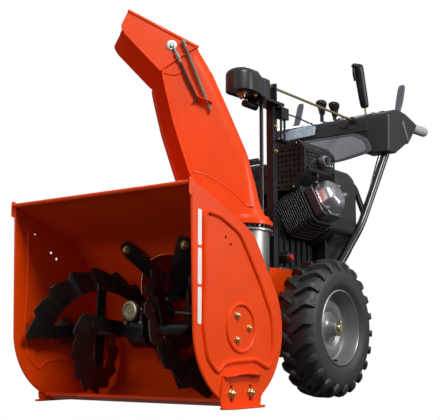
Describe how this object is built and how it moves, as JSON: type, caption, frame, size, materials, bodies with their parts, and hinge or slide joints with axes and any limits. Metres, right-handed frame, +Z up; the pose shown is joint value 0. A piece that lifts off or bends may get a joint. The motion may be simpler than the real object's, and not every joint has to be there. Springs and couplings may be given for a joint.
{
  "type": "snow blower",
  "caption": "Walk-behind two-stage snow blower with an open auger housing, a turning discharge chute with a tilting deflector, an engine, lugged wheels and a dash with levers and grips.",
  "frame": {"origin": "on the ground, under the middle of the machine's overall length and on its middle plane", "axes": "-Y forward into the snow, +X the operator's left, +Z up"},
  "size_m": [0.6764, 1.5206, 1.1738],
  "materials": {
    "orange_paint": "powder coat, fine texture, gloss",
    "black_paint": "semi-gloss powder coat",
    "auger_black": "satin black paint, lightly worn",
    "zinc": "zinc plated",
    "yellow_zinc": "yellow chromate zinc",
    "bronze": "bronze gear",
    "charcoal": "textured charcoal",
    "trim_grey": "satin grey",
    "knob_black": "soft black",
    "paddle_grey": "satin grey",
    "grip_grey": "ribbed light grey",
    "cable": "smooth black",
    "tyre": "deep lugs, dusty",
    "rim": "satin grey",
    "engine_black": "black painted casting",
    "valve_silver": "bright casting",
    "muffler_black": "heat resistant black",
    "lens": "clear lens",
    "reflector": "white reflective",
    "button_red": "glossy red"
  },
  "bodies": {
    "machine": {"auger_housing": "orange_paint", "left_side_plate": "orange_paint", "right_side_plate": "orange_paint", "impeller_drum": "orange_paint", "scraper_bar": "zinc", "left_skid_shoe": "orange_paint", "right_skid_shoe": "orange_paint", "housing_fasteners": "zinc", "side_reflectors": "reflector", "auger_bearings": "zinc", "auger_gearcase": "black_paint", "gearcase_cap": "yellow_zinc", "gearcase_brace": "black_paint", "chute_neck": "zinc", "chute_post": "black_paint", "chute_gear_cover": "charcoal", "dash": "charcoal", "dash_trim": "trim_grey", "headlight": "lens", "grips": "grip_grey", "handlebars": "black_paint", "control_cables": "cable", "chassis": "orange_paint", "belt_cover": "black_paint", "engine_block": "engine_black", "valve_cover": "valve_silver", "muffler": "muffler_black", "blower_housing": "charcoal", "fuel_tank": "knob_black"},
    "auger": {"auger_shaft": "zinc", "left_auger": "auger_black", "right_auger": "auger_black", "shear_pins": "yellow_zinc", "worm_wheel": "bronze"},
    "impeller_set": {"impeller": "auger_black", "impeller_shaft": "zinc"},
    "chute_set": {"chute": "orange_paint", "deflector_cable": "cable"},
    "deflector": {"chute_deflector": "orange_paint", "deflector_hinge_bolts": "zinc"},
    "spring": {"deflector_spring": "zinc"},
    "chute_drive": {"chute_drive_shaft": "zinc"},
    "chute_crank": {"chute_crank_rod": "yellow_zinc", "chute_handle": "knob_black"},
    "trigger": {"chute_trigger": "knob_black"},
    "speed_lever": {"speed_lever": "knob_black"},
    "deflector_lever": {"deflector_lever": "knob_black"},
    "left_clutch": {"left_clutch_lever": "paddle_grey"},
    "right_clutch": {"right_clutch_lever": "paddle_grey"},
    "left_wheel": {"left_axle": "yellow_zinc", "left_tyre": "tyre", "left_rim": "rim"},
    "right_wheel": {"right_axle": "yellow_zinc", "right_tyre": "tyre", "right_rim": "rim"},
    "fuel_cap": {"fuel_cap": "knob_black"},
    "recoil": {"recoil_handle": "knob_black"},
    "choke": {"choke_knob": "knob_black"},
    "throttle": {"throttle_lever": "knob_black"},
    "starter_button": {"starter_button": "button_red"}
  },
  "joints": [
    {"name": "auger_spin", "type": "hinge", "parent": "machine", "child": "auger", "pos_m": [0, -0.552, 0.1935], "axis": [1, 0, 0], "continuous": true},
    {"name": "impeller_spin", "type": "hinge", "parent": "machine", "child": "impeller_set", "pos_m": [0, -0.374, 0.2405], "axis": [0, 1, 0], "continuous": true},
    {"name": "chute_turn", "type": "hinge", "parent": "machine", "child": "chute_set", "pos_m": [0.11, -0.286, 0.487], "axis": [0, 0, 1], "range_deg": [-49, 131]},
    {"name": "deflector_tilt", "type": "hinge", "parent": "chute_set", "child": "deflector", "pos_m": [-0.02843, -0.44524, 0.983], "axis": [0.7547, -0.6561, 0], "range_deg": [0, 45]},
    {"name": "spring_swing", "type": "hinge", "parent": "deflector", "child": "spring", "pos_m": [0.06869, -0.48594, 0.991], "axis": [0.7547, -0.6561, 0], "range_deg": [-44, 0]},
    {"name": "drive_shaft_turn", "type": "hinge", "parent": "machine", "child": "chute_drive", "pos_m": [0.11, -0.16067, 0.487], "axis": [0, 0, 1], "range_deg": [-395, 150]},
    {"name": "chute_crank_turn", "type": "hinge", "parent": "machine", "child": "chute_crank", "pos_m": [0.11, 0.526, 0.945], "axis": [0, 1, 0], "range_deg": [-18.5, 48]},
    {"name": "trigger_pull", "type": "hinge", "parent": "chute_crank", "child": "trigger", "pos_m": [0.11, 0.436, 1.139], "axis": [1, 0, 0], "range_deg": [0, 15], "stiffness_Nm_per_rad": 0.05, "springref_deg": -17.19},
    {"name": "speed_shift", "type": "hinge", "parent": "machine", "child": "speed_lever", "pos_m": [-0.062, 0.502, 0.924], "axis": [1, 0, 0], "range_deg": [-20, 20]},
    {"name": "deflector_lever_swing", "type": "hinge", "parent": "machine", "child": "deflector_lever", "pos_m": [-0.008, 0.502, 0.924], "axis": [1, 0, 0], "range_deg": [0, 31]},
    {"name": "left_clutch_squeeze", "type": "hinge", "parent": "machine", "child": "left_clutch", "pos_m": [0.216, 0.55, 0.958], "axis": [1, 0, 0], "range_deg": [-56, 0], "stiffness_Nm_per_rad": 1, "springref_deg": 20.05},
    {"name": "right_clutch_squeeze", "type": "hinge", "parent": "machine", "child": "right_clutch", "pos_m": [-0.216, 0.55, 0.958], "axis": [1, 0, 0], "range_deg": [-56, 0], "stiffness_Nm_per_rad": 1, "springref_deg": 20.05},
    {"name": "left_wheel_spin", "type": "hinge", "parent": "machine", "child": "left_wheel", "pos_m": [0.239, -0.018, 0.204], "axis": [1, 0, 0], "continuous": true},
    {"name": "right_wheel_spin", "type": "hinge", "parent": "machine", "child": "right_wheel", "pos_m": [-0.239, -0.018, 0.204], "axis": [1, 0, 0], "continuous": true},
    {"name": "fuel_cap_turn", "type": "hinge", "parent": "machine", "child": "fuel_cap", "pos_m": [-0.08, 0.062, 0.734], "axis": [0, 0, 1], "range_deg": [0, 90]},
    {"name": "choke_turn", "type": "hinge", "parent": "machine", "child": "choke", "pos_m": [0.088, 0.328, 0.628], "axis": [0, 1, 0], "range_deg": [0, 90]},
    {"name": "throttle_swing", "type": "hinge", "parent": "machine", "child": "throttle", "pos_m": [0.112, 0.328, 0.538], "axis": [0, 1, 0], "range_deg": [-40, 40]},
    {"name": "recoil_pull", "type": "slide", "parent": "machine", "child": "recoil", "axis": [0, 1, 0], "range_m": [0, 0.35], "stiffness_N_per_m": 15, "springref_m": -0.1},
    {"name": "starter_press", "type": "slide", "parent": "machine", "child": "starter_button", "axis": [0, -1, 0], "range_m": [0, 0.004], "stiffness_N_per_m": 300, "springref_m": -0.003}
  ],
  "couplings": [
    {"joint": "impeller_spin", "follows": "auger_spin", "ratio": 10},
    {"joint": "drive_shaft_turn", "follows": "chute_turn", "ratio": -3},
    {"joint": "chute_crank_turn", "follows": "chute_turn", "ratio": 0.36},
    {"joint": "deflector_lever_swing", "follows": "deflector_tilt", "ratio": 0.6667},
    {"joint": "spring_swing", "follows": "deflector_tilt", "ratio": -0.962}
  ]
}
